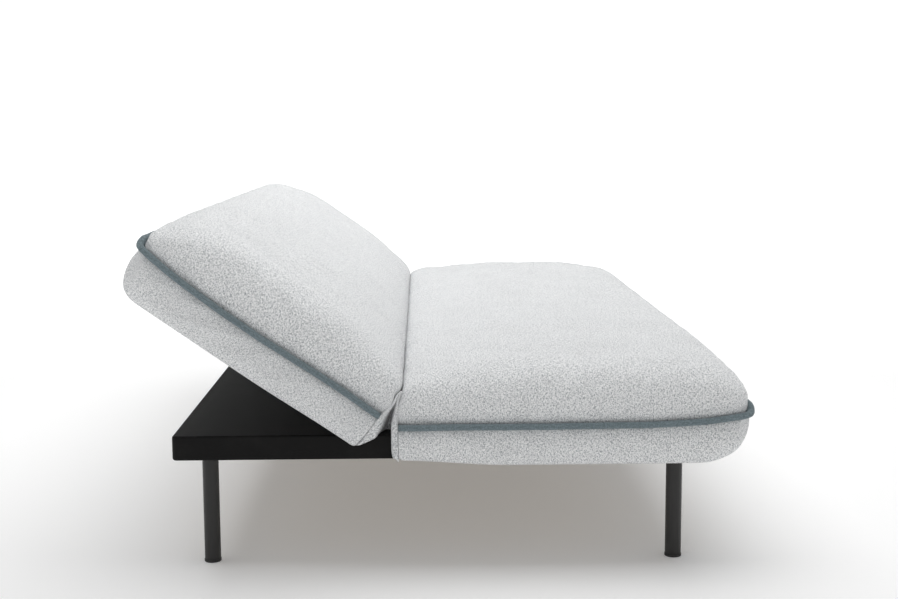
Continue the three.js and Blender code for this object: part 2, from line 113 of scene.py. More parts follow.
BACK = {
    "name": "back",
    "depth": 528 * MM,
    "inner_seam": -36 * MM,
    "outer_seam": -23 * MM,
    "seam_power": 8,
    "seam_wave": 2 * MM,
    "crown": 77 * MM,
    "inner_reach": 150 * MM,
    "end_reach": 118 * MM,
    "outer_reach": 150 * MM,
    "band_reach": 48 * MM,
    "band_power": 0.9,
    "band_swell": 10 * MM,
    "low": -111 * MM,
    "belly": 4 * MM,
    "belly_from": 150 * MM,
    "recess_end": 412 * MM,
    "lean": 6 * MM,
    "end_pull": 12 * MM,
}


# ---- small helpers ----
def smooth(x):
    """A rise from 0 to 1 with level ends."""
    t = np.clip(x, 0, 1)
    return t * t * (3 - 2 * t)


def lerp(a, b, t):
    """The place between a and b at the share t of the way."""
    return a + (b - a) * t


def link(name, data):
    """A new object in the scene, of a mesh, a light or a camera."""
    thing = bpy.data.objects.new(name, data)
    bpy.context.scene.collection.objects.link(thing)
    return thing


def shade_smooth(mesh):
    mesh.polygons.foreach_set("use_smooth", [True] * len(mesh.polygons))


def placement(form):
    """The matrix from a cushion's own frame to the model's. The seat's is a mirrored one."""
    if form is SEAT:
        return Matrix.Translation(PIVOT) @ Matrix.Diagonal((1, -1, 1, 1))
    return Matrix.Translation(PIVOT) @ Matrix.Rotation(BACK_ANGLE, 4, "X")


def place(thing, form):
    """Moves a mesh from the cushion's own frame into the model's."""
    thing.data.transform(placement(form))
    if form is SEAT:
        thing.data.flip_normals()


# ---- materials ----
def new_material(name, **finish):
    """A Principled material. Its constants are set on the shader's own sockets."""
    material = bpy.data.materials.new(name)
    material.use_nodes = True
    shader = material.node_tree.nodes["Principled BSDF"]
    for socket, value in finish.items():
        shader.inputs[socket.replace("_", " ")].default_value = value
    return material


def add(material, kind, inputs=None, **settings):
    """A node, its sockets filled with values or linked to other nodes' outputs."""
    node = material.node_tree.nodes.new(kind)
    for key, value in settings.items():
        setattr(node, key, value)
    for socket, value in (inputs or {}).items():
        if isinstance(value, bpy.types.NodeSocket):
            material.node_tree.links.new(value, node.inputs[socket])
        else:
            node.inputs[socket].default_value = value
    return node


def plug(material, socket, output):
    """Links an output to a socket of the material's own shader."""
    shader = material.node_tree.nodes["Principled BSDF"]
    material.node_tree.links.new(output, shader.inputs[socket])


def stretched_noise(material, source, scale, detail=2.0, rough=0.5):
    """Noise whose grains are as long as 1/scale in each direction, in metres."""
    mapped = add(material, "ShaderNodeMapping", {"Vector": source, "Scale": scale})
    grain = {"Vector": mapped.outputs[0], "Scale": 1.0, "Detail": detail, "Roughness": rough}
    return add(material, "ShaderNodeTexNoise", grain).outputs["Fac"]


def band_of(material, value, low, high):
    """0 below low, 1 above high, and a smooth step between."""
    limits = {"Value": value, "From Min": low, "From Max": high}
    return add(material, "ShaderNodeMapRange", limits, interpolation_type="SMOOTHSTEP").outputs[0]


def spread(material, value, low, high):
    """A value from 0 to 1, stretched to run from low to high."""
    limits = {"Value": value, "To Min": low, "To Max": high}
    return add(material, "ShaderNodeMapRange", limits).outputs[0]


def mixed(material, factor, a, b, blend_type="MIX"):
    """A colour mix."""
    node = add(material, "ShaderNodeMix", data_type="RGBA", blend_type=blend_type)
    for index, value in ((0, factor), (6, a), (7, b)):
        if isinstance(value, bpy.types.NodeSocket):
            material.node_tree.links.new(value, node.inputs[index])
        else:
            node.inputs[index].default_value = value
    return node.outputs[2]


def summed(material, *values):
    """The sum of several nodes' outputs."""
    total = values[0]
    for value in values[1:]:
        total = add(material, "ShaderNodeMath", {0: total, 1: value}, operation="ADD").outputs[0]
    return total


def grey(level):
    return (level, level, level, 1)


def object_places(material, tilt=0.0):
    """Places on the object, turned level for pieces that stand tilted with the back."""
    places = add(material, "ShaderNodeTexCoord").outputs["Object"]
    turned = {"Vector": places, "Rotation": (-tilt, 0, 0)}
    return add(material, "ShaderNodeMapping", turned).outputs[0]


def bumped(material, height, strength, distance):
    """Relief on the surface, distance deep."""
    relief = {"Height": height, "Strength": strength, "Distance": distance}
    plug(material, "Normal", add(material, "ShaderNodeBump", relief).outputs[0])


def woven_cloth(name, light, dark, thread, flecks, fleck_length, bump):
    """Cloth woven of flecked yarns: dark and light dashes along the warp and the weft.

    thread is the width of a yarn, flecks the band of noise that turns from light to dark.
    """
    material = new_material(name, Roughness=0.92, Sheen_Weight=0.12, Sheen_Roughness=0.5)
    uv = add(material, "ShaderNodeUVMap", uv_map="cloth").outputs[0]
    across, along = 1 / thread, 1 / fleck_length
    warp = stretched_noise(material, uv, (across, along, 1), 2.0, 0.65)
    weft = stretched_noise(material, uv, (along, across, 1), 2.0, 0.65)
    knots = stretched_noise(material, uv, (across, 0.45 * across, 1), 1.0)
    slubs = stretched_noise(material, uv, (0.45 * across, across, 1), 1.0)
    patch = stretched_noise(material, uv, (9, 9, 1), 3.0)
    colour = mixed(material, band_of(material, warp, *flecks), light, dark)
    colour = mixed(material, band_of(material, weft, *flecks), colour, dark)
    for grain in (knots, slubs):
        colour = mixed(material, band_of(material, grain, 0.56, 0.7), colour, dark)
    tone = mixed(material, band_of(material, patch, 0.3, 0.7), grey(0.96), grey(1.0))
    plug(material, "Base Color", mixed(material, 1.0, colour, tone, "MULTIPLY"))
    bumped(material, summed(material, warp, weft, knots, slubs), bump, 1.2 * MM)
    return material


def black_cover(name):
    """The platform's matt black cover: fine pebbled grain, faint creases and paler worn patches."""
    material = new_material(name, Roughness=0.62, Specular_IOR_Level=0.16)
    places = object_places(material)
    pebbles = stretched_noise(material, places, (700, 700, 700), 2.0)
    creases = stretched_noise(material, places, (9, 30, 60), 4.0, 0.6)
    worn = band_of(material, stretched_noise(material, places, (14, 14, 14), 4.0), 0.45, 0.75)
    dark, pale = (0.004, 0.0038, 0.0037, 1), (0.008, 0.0077, 0.0074, 1)
    plug(material, "Base Color", mixed(material, worn, dark, pale))
    bumped(material, summed(material, pebbles, creases), 0.35, 1.0 * MM)
    return material


def painted_tube(name, level):
    """Satin powder coat: a faint orange peel, a little rubbed in places."""
    material = new_material(name, Roughness=0.42, Specular_IOR_Level=0.4)
    places = object_places(material)
    peel = stretched_noise(material, places, (420, 420, 420), 1.0)
    rubbed = stretched_noise(material, places, (60, 60, 16), 4.0)
    dark, pale = (level * 1.04, level, level * 0.96, 1), (level * 1.5, level * 1.45, level * 1.4, 1)
    plug(material, "Base Color", mixed(material, band_of(material, rubbed, 0.5, 0.8), dark, pale))
    plug(material, "Roughness", spread(material, rubbed, 0.36, 0.5))
    bumped(material, peel, 0.15, 0.4 * MM)
    return material


def black_plastic(name):
    """Moulded plastic: a fine grain, and paler scuffs."""
    material = new_material(name, Roughness=0.5)
    places = object_places(material)
    grain = stretched_noise(material, places, (900, 900, 900), 1.0)
    scuffs = band_of(material, stretched_noise(material, places, (120, 120, 300), 3.0), 0.55, 0.75)
    plug(material, "Base Color", mixed(material, scuffs, grey(0.012), grey(0.03)))
    bumped(material, grain, 0.2, 0.3 * MM)
    return material


def wood(name, axis, light, dark, tilt=0.0):
    """Softwood or plywood, with its grain along one axis."""
    material = new_material(name, Roughness=0.72)
    places = object_places(material, tilt)
    scale = [55.0, 55.0, 55.0]
    scale["xyz".index(axis)] = 2.2
    grain = stretched_noise(material, places, tuple(scale), 5.0, 0.6)
    pores = stretched_noise(material, places, tuple(12 * k for k in scale), 2.0)
    colour = mixed(material, band_of(material, grain, 0.35, 0.7), light, dark)
    pore_dark = mixed(material, band_of(material, pores, 0.6, 0.8), grey(1.0), grey(0.8))
    plug(material, "Base Color", mixed(material, 1.0, colour, pore_dark, "MULTIPLY"))
    bumped(material, pores, 0.2, 0.5 * MM)
    return material


def zinc_steel(name):
    """Zinc-plated pressed steel: mottled, with fine rolling marks."""
    material = new_material(name, Metallic=1.0)
    places = object_places(material)
    mottle = stretched_noise(material, places, (160, 160, 160), 4.0)
    marks = stretched_noise(material, places, (300, 40, 900), 2.0)
    plug(material, "Base Color", mixed(material, mottle, (0.42, 0.43, 0.44, 1), (0.58, 0.58, 0.56, 1)))
    plug(material, "Roughness", spread(material, mottle, 0.28, 0.55))
    bumped(material, marks, 0.1, 0.2 * MM)
    return material


def strap_cloth(name, level, scale):
    """Black elastic webbing or dust cloth: fine ribs or fibres over an uneven ground."""
    material = new_material(name, Roughness=0.9)
    places = object_places(material)
    ribs = stretched_noise(material, places, scale, 2.0)
    colour = mixed(material, band_of(material, ribs, 0.4, 0.7), grey(level), grey(level * 2.2))
    plug(material, "Base Color", colour)
    bumped(material, ribs, 0.4, 0.8 * MM)
    return material


MELANGE = woven_cloth(
    "melange",
    light=(0.915, 0.92, 0.92, 1),
    dark=(0.23, 0.25, 0.27, 1),
    thread=1.4 * MM,
    flecks=(0.51, 0.73),
    fleck_length=6 * MM,
    bump=0.4,
)
PIPING_CLOTH = woven_cloth(
    "piping_cloth",
    light=(0.215, 0.27, 0.29, 1),
    dark=(0.10, 0.135, 0.15, 1),
    thread=1.6 * MM,
    flecks=(0.45, 0.65),
    fleck_length=5 * MM,
    bump=0.5,
)
PINE, PINE_DARK = (0.52, 0.45, 0.36, 1), (0.42, 0.34, 0.25, 1)
PLYWOOD, PLYWOOD_DARK = (0.46, 0.41, 0.34, 1), (0.39, 0.33, 0.26, 1)
PINE_FINISH = {
    (axis, tilt): wood(f"pine_{axis}_{label}", axis, PINE, PINE_DARK, tilt)
    for axis in "xy"
    for label, tilt in (("level", 0.0), ("tilted", BACK_ANGLE))
}
FINISH = {
    "black_cloth": black_cover("black_cover"),
    "black_tube": painted_tube("tube_coat", 0.018),
    "black_plastic": black_plastic("foot_plastic"),
    "zinc_steel": zinc_steel("zinc_steel"),
    "webbing": strap_cloth("webbing", 0.03, (500, 500, 500)),
    "dust_cloth": strap_cloth("dust_cloth", 0.012, (900, 900, 900)),
    "plywood": wood("plywood", "x", PLYWOOD, PLYWOOD_DARK),
}


def pine_for(name):
    """Pine with its grain along the rail, level or tilted with the back."""
    low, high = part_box(name)
    size = high - low
    axis = "x" if size.x > max(size.y, size.z) else "y"
    return PINE_FINISH[axis, BACK_ANGLE if name.startswith("back") else 0.0]


def cover_with(thing, material):
    """Gives the object this one material."""
    thing.data.materials.clear()
    thing.data.materials.append(material)


def finish_nodes():
    """Gives every CAD node the finish of its material slot."""
    for part in frame["record"]["subparts"]:
        name, slot = part["node"], part["material_slot"]
        material = pine_for(name) if slot == "pine" else FINISH.get(slot, MELANGE)
        cover_with(frame["nodes"][name], material)


# ---- padded cushions ----
# Rows of points: over a rounded end, over the rounded outer edge, along the sofa, and from crease to edge.
END_STEPS = 18
OUTER_STEPS = 16
LENGTH_STEPS = 130
DEPTH_STEPS = {"seat": 30, "back": 18}
SLIDE_STEPS = 8  # rows over which the lower surface's lines slide over to meet the upper one's

SEAM_PULL, SEAM_PULL_REACH = 4.5 * MM, 7 * MM  # how far the piping's seam draws the cloth in, and how widely
SHOULDER_SWELL, SHOULDER_FULLNESS = 10 * MM, 0.9  # the rounded edge above the piping
SLOW_SHARE, SLOW_REACH = 0.11, 430 * MM  # the top goes on rising gently this far from its ends
CORNER_DROP = {"left": 0.06, "right": 0.26}  # the top's outer corners are lower, as the padding has settled
DROP_REACH = {"x": 330 * MM, "u": 170 * MM}
CREASE_REACH = 150 * MM  # the corners at the crease are full, up to this far from it
INNER_PROFILE = ((1, 0), (3.5, 10), (7.5, 22), (13, 33), (23, 42), (38, 49), (60, 56))  # (u, w) in mm

BAND_HEIGHT = 70 * MM  # under the piping, roughly
END_BAND_FALL = (0, 0.06, 0.16, 0.3, 0.45, 0.6, 0.75, 0.88, 0.96, 1)  # from the piping to the foot
END_BAND_SWELL = 8 * MM
END_FOOT_INSET = (0, 4 * MM, 11 * MM)  # of the last three rows, which round the foot
END_FOOT_REACH = 20 * MM
BELLY_SLOPE = 200 * MM  # the length over which the underside comes down to its belly

SEAM_WAVE = {"start": 0.17, "length": 0.87}  # shares of the depth
SEAM_CORNER_RISE = 12 * MM  # the seam climbs as it rounds the outer corners
CORNER_RISE_REACH = {"x": 24 * MM, "u": 16 * MM}
END_PULL_REACH = {"x": 80 * MM, "u": 70 * MM}  # where the gussets' pull on the cushion fades out

PADDING_HOLD = 0.2  # how firmly the padding holds its cover, where a seam holds it with 1
HELD_MARGIN = {"edge": 12 * MM, "seam": 3 * MM, "foot": 4 * MM, "crease": 0.5 * MM}
CLOTH_EASE = -0.012  # the cover is cut this share larger than its padding
PRESSURE = 0.5
SIM_FRAMES = 20
MOST_PUFF = 12 * MM  # no point moves further than this


def pinch(away):
    """How far the cloth is drawn in by the piping's seam, at a distance from it."""
    return SEAM_PULL * np.exp(-away / SEAM_PULL_REACH)


def shoulder_stations(reach, steps):
    """Insets from the seam, and rises from 0 to 1, over the rounded edge above the piping."""
    turn = np.linspace(0, 1, steps + 1) ** 1.2 * math.pi / 2
    swell = SHOULDER_SWELL * np.sin(2 * turn)
    inset = reach * (1 - np.cos(turn) ** SHOULDER_FULLNESS) + pinch(turn * reach) - swell
    return inset, np.maximum(np.sin(turn) ** SHOULDER_FULLNESS, 1e-6)


def end_band_stations(reach, steps):
    """Insets, and falls from 0 to 1, under the piping at the ends: an upright face and a rounded foot."""
    fall = np.array(END_BAND_FALL)
    inset = pinch(fall * BAND_HEIGHT) - END_BAND_SWELL * np.sin(math.pi * fall**0.9)
    inset[-len(END_FOOT_INSET):] = END_FOOT_INSET
    under = np.linspace(END_FOOT_REACH, reach, steps + 1 - len(fall))
    return np.concatenate([inset, under]), np.concatenate([fall, np.ones(len(under))])


def outer_band_stations(form):
    """The same along the outer edge, where the band turns under in one round."""
    turn = np.linspace(0, 1, OUTER_STEPS + 1) ** 1.1 * math.pi / 2
    fall = np.sin(turn) ** form["band_power"]
    swell = form["band_swell"] * np.sin(2 * turn) ** 0.7
    inset = form["band_reach"] * (1 - np.cos(turn) ** form["band_power"])
    return inset + pinch(fall * BAND_HEIGHT) - swell, fall


def cross_lines(form):
    """Lines across the sofa: their x on the upper and the lower surface, their rises and their falls."""
    inset, rise = shoulder_stations(form["end_reach"], END_STEPS)
    band_inset, fall = end_band_stations(inset[-1], END_STEPS)
    middle = np.linspace(inset[-1] - SEAM_X, SEAM_X - inset[-1], LENGTH_STEPS + 1)[1:-1]
    level = np.ones(len(middle))

    def both_ends(start, between, end):
        return np.concatenate([start, between, end[::-1]])

    slow = SLOW_SHARE * (smooth((SEAM_X - np.abs(middle)) / SLOW_REACH) - 1)
    rise, level_rise = rise * (1 + slow[0]), level + slow
    upper = both_ends(inset - SEAM_X, middle, SEAM_X - inset)
    lower = both_ends(band_inset - SEAM_X, middle, SEAM_X - band_inset)
    return upper, lower, both_ends(rise, level_rise, rise), both_ends(fall, level, fall)


def lengthwise_lines(form):
    """Lines along the sofa, from the crease to the outer seam: their u in the same way, rises and falls."""
    u_inner, w_inner = np.array(INNER_PROFILE, float).T * MM
    inset, rise = shoulder_stations(form["outer_reach"], OUTER_STEPS)
    band_inset, band_fall = outer_band_stations(form)
    steps = DEPTH_STEPS[form["name"]]
    flat = np.linspace(u_inner[-1], form["depth"] - inset[-1], steps + 1)
    inner_rise = (w_inner - form["inner_seam"]) / (form["crown"] - form["inner_seam"])
    swell = np.sin(np.clip((flat - flat[0]) / form["inner_reach"], 0, 1) * math.pi / 2)
    upper = np.concatenate([u_inner[:-1], flat, (form["depth"] - inset)[-2::-1]])
    rises = np.concatenate([inner_rise[:-1], lerp(inner_rise[-1], 1, swell), rise[-2::-1]])
    under = np.linspace(0, form["depth"] - band_inset[-1], len(u_inner) + steps)
    lower = np.concatenate([under, (form["depth"] - band_inset)[-2::-1]])
    return upper, lower, rises, np.concatenate([np.ones(len(under)), band_fall[-2::-1]])


def end_pull(form, x, w):
    """How far a gusset draws the inner edge away from the crease, at the ends of the sofa.

    The pull is full from 40 mm under the hinge axis down, and is gone 24 mm over it.
    """
    at_end = smooth(1 - (SEAM_X - np.abs(x)) / END_PULL_REACH["x"])
    fade = 1 - smooth((w - 8 * MM) / (16 * MM))
    return form["end_pull"] * at_end * fade * lerp(0.6, 1, smooth((10 * MM - w) / (50 * MM)))


def inner_u(form, x, w):
    """How far the inner face stands from the hinge's own plane."""
    return INNER_PROFILE[0][0] * MM + form["lean"] * np.clip(w / form["low"], 0, 1) + end_pull(form, x, w)


def round_corners(x, u, outer_u):
    """Bends the grid's outer corners into arcs."""
    p = np.clip((np.abs(x) - (SEAM_X - CORNER_RADIUS)) / CORNER_RADIUS, 0, None)
    q = np.clip((u - (outer_u - CORNER_RADIUS)) / CORNER_RADIUS, 0, None)
    p_bent = p * np.sqrt(np.clip(1 - q * q / 2, 0, 1))
    q_bent = q * np.sqrt(np.clip(1 - p * p / 2, 0, 1))
    return x + np.sign(x) * (p_bent - p) * CORNER_RADIUS, u + (q_bent - q) * CORNER_RADIUS


def seam_level(form, x, u):
    """The height of the piping's seam. It rises towards the outer edge, and once more round the corner."""
    share = np.clip(u / form["depth"], 0, 1)
    wave = form["seam_wave"] * np.cos(2 * math.pi * (share - SEAM_WAVE["start"]) / SEAM_WAVE["length"])
    along_end = lerp(form["inner_seam"] + wave, form["outer_seam"], share ** form["seam_power"])
    from_end = smooth((SEAM_X - np.abs(x)) / CORNER_RISE_REACH["x"])
    at_outer = smooth(1 - (form["depth"] - u) / CORNER_RISE_REACH["u"])
    return along_end + SEAM_CORNER_RISE * from_end * at_outer


def lengths_along(points, axis):
    """Lengths along the middle line of a grid of points."""
    line = np.take(points, points.shape[1 - axis] // 2, axis=1 - axis)
    steps = np.linalg.norm(np.diff(line, axis=0), axis=1)
    return np.concatenate([[0], np.cumsum(steps)])


def joined_rise(rise_x, rise_u, fullness):
    """The rise of a corner: rounded like a pillow's, or full up to both edges where the fullness is 1."""
    steep = 4
    full = (rise_x**-steep + rise_u**-steep - 1) ** (-1 / steep)
    return lerp(rise_x * rise_u, full, fullness)


def surfaces(form):
    """Grids of points for the upper and the lower surface. They share the seam along three of their sides."""
    upper_x, lower_x, rise_x, fall_x = cross_lines(form)
    upper_u, lower_u, rise_u, fall_u = lengthwise_lines(form)
    upper = upper_surface(form, upper_x, upper_u, rise_x, rise_u)

    # Near the seam the lower surface's lines slide over to meet the upper one's.
    i, j = np.arange(len(lower_x)), np.arange(len(lower_u))
    from_end = smooth(np.minimum(i, i[::-1]) / SLIDE_STEPS)[:, None]
    from_outer = smooth(j[::-1] / SLIDE_STEPS)[None, :]
    ones = np.ones((len(lower_x), len(lower_u)))
    flat_x = lerp(upper_x[:, None], lower_x[:, None], from_outer) * ones
    flat_u = lerp(upper_u[None, :], lower_u[None, :], from_end) * ones
    lower = lower_surface(form, flat_x, flat_u, np.outer(fall_x, fall_u))

    for grid in (upper, lower):
        fade = 1 - smooth(grid[..., 1] / END_PULL_REACH["u"])
        grid[..., 1] += end_pull(form, grid[..., 0], grid[..., 2]) * fade
        grid[:, 0, 1] = inner_u(form, grid[:, 0, 0], grid[:, 0, 2])
    return upper, lower


def upper_surface(form, x, u, rise_x, rise_u):
    """The crowned top, down to the seam. Its outer corners have settled."""
    level = seam_level(form, x[:, None], u[None, :])
    drop = np.where(x < 0, CORNER_DROP["left"], CORNER_DROP["right"])
    near_end = 1 - smooth((SEAM_X - np.abs(x)) / DROP_REACH["x"])
    near_edge = 1 - smooth((form["depth"] - u) / DROP_REACH["u"])
    corner = 1 - np.outer(drop * near_end, near_edge)
    rise = joined_rise(rise_x[:, None], rise_u[None, :], 1 - smooth(u / CREASE_REACH)[None, :])
    top = level + (form["crown"] - level) * rise * corner
    ones = np.ones_like(top)
    x, u = round_corners(x[:, None] * ones, u[None, :] * ones, form["depth"])
    return np.stack([x, u, top], axis=-1)


def lower_surface(form, x, u, fall):
    """The band under the seam, and the underside with its belly."""
    belly = smooth((u - form["belly_from"] + BELLY_SLOPE / 2) / BELLY_SLOPE)
    low = form["low"] - form["belly"] * belly
    level = seam_level(form, x, u)
    bottom = level + (low - level) * fall
    x, u = round_corners(x, u, form["depth"])
    return np.stack([x, u, bottom], axis=-1)


def inner_face(upper, lower, form, rows=9):
    """A grid from the lower surface's inner edge up to the upper one's."""
    share = np.linspace(0, 1, rows + 1)[None, :, None]
    face = lerp(lower[:, 0][:, None], upper[:, 0][:, None], share)
    face[..., 1] = inner_u(form, face[..., 0], face[..., 2])
    return face


def grid_faces(shape, first, flip):
    """The faces of a grid whose points are numbered on from first."""
    rows, columns = shape[:2]
    faces = []
    for i in range(rows - 1):
        for j in range(columns - 1):
            a = first + i * columns + j
            ring = (a, a + columns, a + columns + 1, a + 1)
            faces.append(ring[::-1] if flip else ring)
    return faces


def woven_places(points):
    """Where each point lies on the flat cloth, in metres: lengths along the grid's two directions."""
    across, along = lengths_along(points, 0), lengths_along(points, 1)
    return np.stack(np.meshgrid(across, along, indexing="ij"), axis=-1)


def true_places(points):
    """The same for a cushion, where the weave runs on straight although the grid's lines slide sideways."""
    places = woven_places(points)
    places[..., 0] += points[..., 0] - points[:, points.shape[1] // 2, 0][:, None]
    places[..., 1] += points[..., 1] - points[points.shape[0] // 2, :, 1][None, :]
    return places


def mesh_of_grids(name, grids, flat_places):
    """One mesh of grids that meet at their edges. Each is given as (points, turned over or not)."""
    points, faces, flat = [], [], []
    for grid, flip in grids:
        faces += grid_faces(grid.shape, len(points), flip)
        points += [tuple(p) for p in grid.reshape(-1, 3)]
        flat += [tuple(p) for p in flat_places(grid).reshape(-1, 2)]
    mesh = bpy.data.meshes.new(name)
    mesh.from_pydata(points, [], faces)
    layer = mesh.uv_layers.new(name="cloth")
    for loop in mesh.loops:
        layer.data[loop.index].uv = flat[loop.vertex_index]
    weld(mesh, 0.2 * MM)
    return mesh


def weld(mesh, distance):
    """Joins points that are this close, and turns the faces outwards."""
    work = bmesh.new()
    work.from_mesh(mesh)
    bmesh.ops.remove_doubles(work, verts=work.verts, dist=distance)
    bmesh.ops.recalc_face_normals(work, faces=work.faces)
    work.to_mesh(mesh)
    work.free()


def cushion(form):
    """A cover over its padding, as one closed form, with room underneath for the frame and the hinges."""
    upper, lower = surfaces(form)
    face = inner_face(upper, lower, form)
    grids = [(upper, False), (lower, True), (face, False)]
    mesh = mesh_of_grids(f"{form['name']}_cushion", grids, true_places)
    thing = link(f"{form['name']}_cushion", mesh)
    puff(thing, form)
    soften(thing)
    hollow(thing, form)
    place(thing, form)
    shade_smooth(thing.data)
    cover_with(thing, MELANGE)
    return thing


def apply_modifiers(thing):
    """The mesh as its modifiers make it, in place of its own."""
    graph = bpy.context.evaluated_depsgraph_get()
    made = bpy.data.meshes.new_from_object(thing.evaluated_get(graph), depsgraph=graph)
    thing.modifiers.clear()
    thing.data = made


def soften(thing):
    """Rounds the mesh with one subdivision."""
    rounds = thing.modifiers.new("soften", "SUBSURF")
    rounds.levels = rounds.render_levels = 1
    apply_modifiers(thing)


def box_mesh(name, low, high):
    """A box between two corners."""
    mesh = bpy.data.meshes.new(name)
    work = bmesh.new()
    size, centre = Vector(high) - Vector(low), (Vector(high) + Vector(low)) / 2
    bmesh.ops.create_cube(work, matrix=Matrix.Translation(centre) @ Matrix.Diagonal((*size, 1)))
    work.to_mesh(mesh)
    work.free()
    return mesh


def hollow(thing, form):
    """Cuts the recess for the frame and the platform, and the pockets for the hinges."""
    behind, deep = -100 * MM, 2 * form["low"]  # well clear of the cushion
    spaces = [((-RECESS["half_x"], behind, deep), (RECESS["half_x"], form["recess_end"], RECESS["top"]))]
    for side in (-1, 1):
        xs = sorted((side * POCKET["low"], side * POCKET["high"]))
        spaces.append(((xs[0], behind, deep), (xs[1], POCKET["depth"], POCKET["top"])))
    for low, high in spaces:
        tool = link("tool", box_mesh("tool", low, high))
        cut = thing.modifiers.new("cut", "BOOLEAN")
        cut.operation, cut.solver, cut.object = "DIFFERENCE", "MANIFOLD", tool
        apply_modifiers(thing)
        bpy.data.objects.remove(tool)


def hold(thing, form, rest):
    """The padding holds the cloth softly everywhere. The seams, the underside and the crease hold it fast."""
    x, u, w = rest.T
    margin = HELD_MARGIN
    at_edge = (np.abs(x) > SEAM_X - margin["edge"]) | (u > form["depth"] - margin["edge"])
    fast = (np.abs(w - seam_level(form, x, u)) < margin["seam"]) & at_edge
    fast |= w < form["low"] + margin["foot"]
    fast |= u < inner_u(form, x, w) + margin["crease"]
    held = thing.vertex_groups.new(name="held")
    for index, is_fast in enumerate(fast):
        held.add([index], 1.0 if is_fast else PADDING_HOLD, "REPLACE")


def puff(thing, form):
    """Strains the cover over its padding with a cloth simulation, so that it swells between its seams."""
    rest = np.array([v.co for v in thing.data.vertices])
    hold(thing, form, rest)
    sim = thing.modifiers.new("puff", "CLOTH").settings
    sim.vertex_group_mass = "held"
    sim.quality, sim.mass = 5, 0.3
    sim.tension_stiffness = sim.compression_stiffness = 15
    sim.shear_stiffness, sim.bending_stiffness = 5, 0.15
    sim.shrink_min = CLOTH_EASE
    sim.use_pressure, sim.uniform_pressure_force = True, PRESSURE
    sim.effector_weights.gravity = 0
    scene = bpy.context.scene
    for step in range(1, SIM_FRAMES + 1):
        scene.frame_set(step)
    graph = bpy.context.evaluated_depsgraph_get()
    blown = np.array([v.co for v in thing.evaluated_get(graph).data.vertices])
    thing.modifiers.clear()
    thing.vertex_groups.clear()
    scene.frame_set(1)
    move = blown - rest
    length = np.linalg.norm(move, axis=1, keepdims=True)
    move *= np.minimum(1, MOST_PUFF / np.maximum(length, 1e-9))
    thing.data.vertices.foreach_set("co", (rest + move).astype(np.float32).ravel())
    thing.data.update()


# ---- piping ----
PIPING_STEP = 12 * MM  # between the path's points along the ends of the sofa
PIPING_STEPS = 159  # along its outer edge
PIPING_BEND_STEPS = 8
SWAY, SWAYS_PER_METRE = 1.6 * MM, 14  # how far and how often the cord wanders off its seam


def tube(name, path, side, radius, flange, sides=12):
    """A closed tube along a path of points, with a flat-cloth map. Its flange sets out towards side."""
    path = [Vector(p) for p in path]
    rings, flat, run = [], [], 0.0
    for index, point in enumerate(path):
        ahead = path[min(index + 1, len(path) - 1)] - path[max(index - 1, 0)]
        ahead.normalize()
        side = (side - ahead * ahead.dot(side)).normalized()
        across = ahead.cross(side)
        if index:
            run += (point - path[index - 1]).length
        for k in range(sides):
            turn = 2 * math.pi * k / sides
            reach = radius + flange * max(0.0, math.cos(turn)) ** 8
            rings.append(point + reach * (math.cos(turn) * side + math.sin(turn) * across))
            flat.append((run, radius * turn))
    faces = []
    for i in range(len(path) - 1):
        for k in range(sides):
            a, b = i * sides + k, i * sides + (k + 1) % sides
            faces.append((a, b, b + sides, a + sides))
    last = (len(path) - 1) * sides
    faces += [tuple(range(sides))[::-1], tuple(range(last, last + sides))]
    mesh = bpy.data.meshes.new(name)
    mesh.from_pydata(rings, [], faces)
    layer = mesh.uv_layers.new(name="cloth")
    for loop in mesh.loops:
        layer.data[loop.index].uv = flat[loop.vertex_index]
    shade_smooth(mesh)
    return mesh


def piping_route(form):
    """The cord's route seen from above: along one end, round the outer corners, and back, as (x, u)."""
    end_x, outer_u = SEAM_X + PIPING_PROUD, form["depth"] + PIPING_PROUD
    bend = CORNER_RADIUS + 2 * MM
    start = inner_u(form, SEAM_X, form["inner_seam"])
    half = [(end_x, u) for u in np.arange(start, outer_u - bend, PIPING_STEP)]
    for turn in np.linspace(0, math.pi / 2, PIPING_BEND_STEPS + 1):
        half.append((end_x - bend + bend * math.cos(turn), outer_u - bend + bend * math.sin(turn)))
    middle = [(x, outer_u) for x in np.linspace(end_x - bend, bend - end_x, PIPING_STEPS + 1)[1:-1]]
    return half + middle + [(-x, u) for x, u in half[::-1]]


def piping(form):
    """A cord in a cloth tube, sewn into the seam."""
    path = []
    for x, u in piping_route(form):
        spot = Vector((x * SWAYS_PER_METRE, u * SWAYS_PER_METRE, len(form["name"])))
        path.append((x, u, float(seam_level(form, x, u)) + noise.noise(spot) * SWAY))
    inwards = Vector((-1, 0, 0))
    mesh = tube("piping", path, inwards, PIPING_RADIUS, PIPING_FLANGE)
    thing = link(f"{form['name']}_piping_cord", mesh)
    place(thing, form)
    cover_with(thing, PIPING_CLOTH)
    return thing


# ---- gussets ----
WEB_ROWS, WEB_COLUMNS = 26, 44
WEB_TOP = 22 * MM
WEB_FLAP = 14 * MM  # the width of the flap that stands along the seat's seam
WEB_TUCK = 68 * MM  # how deep the fold goes in between the cushions
WEB_CRUMPLE = 9 * MM
WEB_GROOVES = {0: 6 * MM, -1: 8 * MM, -2: 5 * MM}  # the columns that lie deeper, at the seams
WEB_THICKNESS = 1.2 * MM
# How long the web is, as a share of the end panels' height, from the seat's seam (0) to the back's (1).
WEB_HEM = (
    (0, 1),
    (0.12, 0.97),
    (0.22, 0.99),
    (0.3, 0.88),
    (0.36, 0.79),
    (0.5, 0.76),
    (0.58, 0.76),
    (0.66, 0.78),
    (0.74, 0.83),
    (0.86, 0.91),
    (1, 1),
)


